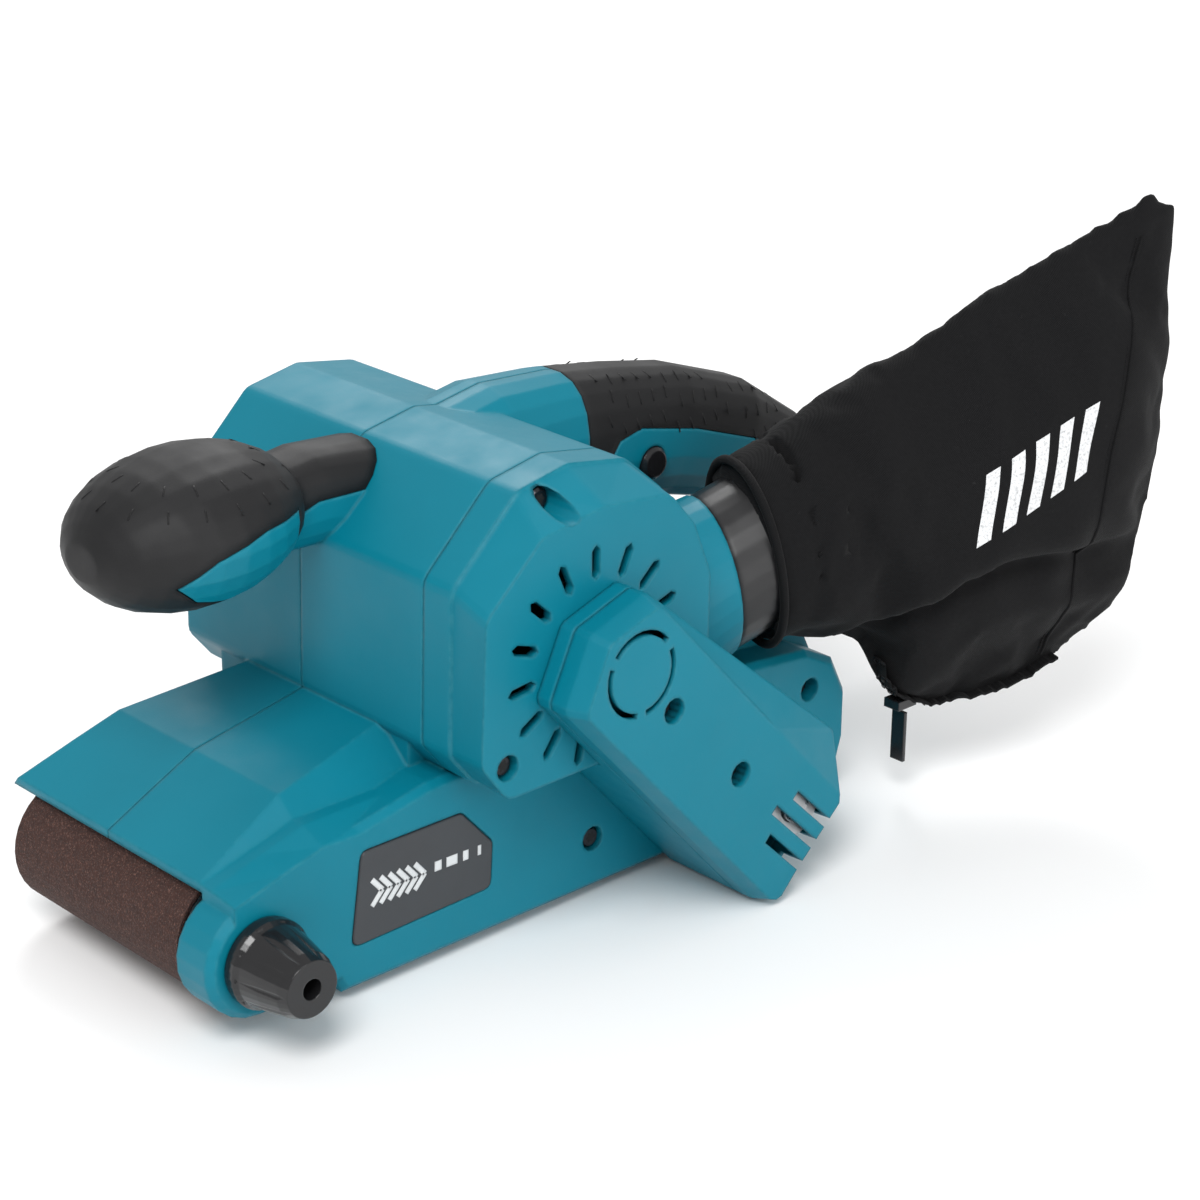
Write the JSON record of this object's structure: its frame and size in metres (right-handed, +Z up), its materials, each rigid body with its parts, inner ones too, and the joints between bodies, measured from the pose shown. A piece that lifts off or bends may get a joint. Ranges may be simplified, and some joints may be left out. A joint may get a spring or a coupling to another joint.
{
  "type": "belt sander",
  "caption": "Handheld belt sander with clamshell housing, knob and D-handle, belt guard, steerable front roller and angled dust bag.",
  "frame": {"origin": "on the flat sanding face, midway along the platen and across the belt", "axes": "-X is the working direction (front roller end), -Y the left side with the belt guard and tracking knob, +Z up"},
  "size_m": [0.3306, 0.1601, 0.183],
  "materials": {
    "teal_plastic": "fine moulded texture, satin",
    "black_rubber": "soft matte",
    "gloss_black_plastic": "glossy",
    "satin_black_plastic": "satin",
    "steel": "turned",
    "cast_aluminium": "as cast",
    "copper": "turned copper",
    "brass": "satin",
    "lamination_steel": "stamped laminations",
    "carbon": "matte carbon",
    "abrasive_cloth": "brown grit on cloth",
    "cork": "pressed cork",
    "label_grey": "satin printed plate",
    "black_cloth": "fine woven polyester"
  },
  "bodies": {
    "sander_body": {"housing_left": "teal_plastic", "housing_right": "teal_plastic", "front_grip": "black_rubber", "rear_grip": "black_rubber", "motor_end_cover": "teal_plastic", "drive_cover_base": "teal_plastic", "drive_cover": "teal_plastic", "casing_screw_1": "steel", "casing_screw_2": "steel", "end_cover_screw_1": "steel", "end_cover_screw_2": "steel", "drive_cover_screw_1": "steel", "drive_cover_screw_2": "steel", "drive_belt": "black_rubber", "drum_bearing_outer": "steel", "drum_bearing_inner": "steel", "armature_bearing_left": "steel", "armature_bearing_right": "steel", "stator": "lamination_steel", "brush_holder_front": "brass", "brush_holder_rear": "brass", "carbon_brush_front": "carbon", "carbon_brush_rear": "carbon", "sanding_belt": "abrasive_cloth", "platen_pad": "cork", "platen_plate": "steel", "base_frame": "cast_aluminium", "lever_pin": "steel", "switch_body": "satin_black_plastic", "cord_gland": "black_rubber", "label_plate": "label_grey"},
    "armature": {"armature_core": "lamination_steel", "armature_shaft": "steel", "commutator": "copper", "motor_pulley": "cast_aluminium", "cooling_fan": "satin_black_plastic"},
    "drive_drum": {"drive_drum_core": "cast_aluminium", "drive_drum_sleeve": "black_rubber", "drive_shaft": "steel", "driven_pulley": "cast_aluminium"},
    "roller_carriage": {"idler_carriage": "steel", "tension_spring": "steel"},
    "roller_yoke": {"idler_yoke": "cast_aluminium", "idler_axle": "steel"},
    "front_roller": {"idler_drum": "cast_aluminium", "idler_bearing_left": "steel", "idler_bearing_right": "steel"},
    "tension_lever": {"release_lever": "steel"},
    "tracking_adjuster": {"tracking_knob": "gloss_black_plastic", "tracking_screw": "steel"},
    "switch_trigger": {"trigger": "gloss_black_plastic"},
    "lock_on_button": {"lock_button": "gloss_black_plastic"},
    "dust_unit": {"dust_collar": "satin_black_plastic", "dust_bag": "black_cloth", "zip_tape": "black_cloth", "zip_slider": "steel"},
    "zip_puller": {"zip_pull": "steel"}
  },
  "joints": [
    {"name": "motor_spin", "type": "hinge", "parent": "sander_body", "child": "armature", "pos_m": [0.0113, 0, 0.088], "axis": [0, 1, 0], "continuous": true},
    {"name": "drum_spin", "type": "hinge", "parent": "sander_body", "child": "drive_drum", "pos_m": [0.07643, 0, 0.027], "axis": [0, 1, 0], "continuous": true},
    {"name": "roller_tension", "type": "slide", "parent": "sander_body", "child": "roller_carriage", "axis": [1, 0, 0], "range_m": [0, 0.005], "stiffness_N_per_m": 3000, "springref_m": -0.01, "deforming": ["tension_spring"]},
    {"name": "roller_steer", "type": "hinge", "parent": "roller_carriage", "child": "roller_yoke", "pos_m": [-0.0595, 0, 0.0235], "axis": [0, 0, 1], "range_deg": [-1, 1]},
    {"name": "front_roller_spin", "type": "hinge", "parent": "roller_yoke", "child": "front_roller", "pos_m": [-0.081, 0, 0.023], "axis": [0, 1, 0], "continuous": true},
    {"name": "tension_lever_turn", "type": "hinge", "parent": "sander_body", "child": "tension_lever", "pos_m": [-0.044, 0.0385, 0.021], "axis": [0, 0, 1], "range_deg": [0, 85]},
    {"name": "tracking_turn", "type": "hinge", "parent": "sander_body", "child": "tracking_adjuster", "pos_m": [-0.086, -0.056, 0.0234], "axis": [0, 1, 0], "range_deg": [-180, 180]},
    {"name": "trigger_pull", "type": "hinge", "parent": "sander_body", "child": "switch_trigger", "pos_m": [0.0775, 0, 0.095], "axis": [0, -1, 0], "range_deg": [0, 8], "stiffness_Nm_per_rad": 0.6, "springref_deg": -5.73},
    {"name": "lock_press", "type": "slide", "parent": "sander_body", "child": "lock_on_button", "axis": [0, 1, 0], "range_m": [0, 0.003], "stiffness_N_per_m": 500, "springref_m": -0.002},
    {"name": "dust_unit_off", "type": "slide", "parent": "sander_body", "child": "dust_unit", "axis": [0.865, -0.3148, 0.3907], "range_m": [0, 0.045]},
    {"name": "zip_puller_swing", "type": "hinge", "parent": "dust_unit", "child": "zip_puller", "pos_m": [0.14602, -0.06957, 0.0295], "axis": [0, 1, 0], "range_deg": [-60, 60]}
  ],
  "couplings": [
    {"joint": "drum_spin", "follows": "motor_spin", "ratio": 0.69893},
    {"joint": "front_roller_spin", "follows": "motor_spin", "ratio": 1.0012},
    {"joint": "tension_lever_turn", "follows": "roller_tension", "rad_per_m": 296.7},
    {"joint": "tracking_turn", "follows": "roller_steer", "ratio": 180}
  ]
}
